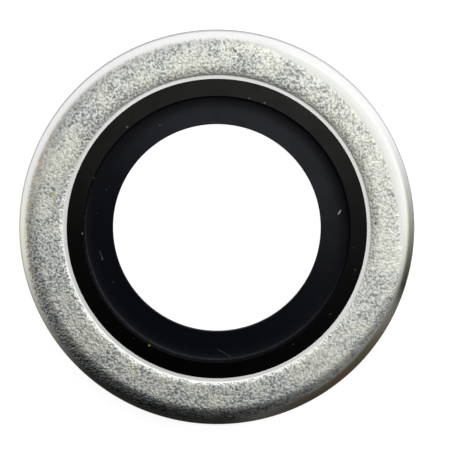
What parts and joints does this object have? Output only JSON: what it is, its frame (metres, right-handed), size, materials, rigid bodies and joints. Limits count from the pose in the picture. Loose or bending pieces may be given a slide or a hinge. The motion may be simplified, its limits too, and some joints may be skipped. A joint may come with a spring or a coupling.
{
  "type": "self-centring bonded sealing washer",
  "caption": "Flat zinc-plated steel ring with a black rubber seal bonded in its bore: a raised sealing lip on each face and a thin centring web that grips the thread.",
  "frame": {"origin": "centre of the washer, on its axis at the middle of its thickness", "axes": "+Z along the washer's axis, out of the face whose outer edge is rolled over; X and Y are any two directions across it"},
  "size_m": [0.016, 0.016, 0.002],
  "materials": {
    "zinc_plated_steel": "satin",
    "nitrile_rubber": "satin"
  },
  "bodies": {
    "root": {"steel_ring": "zinc_plated_steel", "rubber_seal": "nitrile_rubber"}
  },
  "joints": []
}
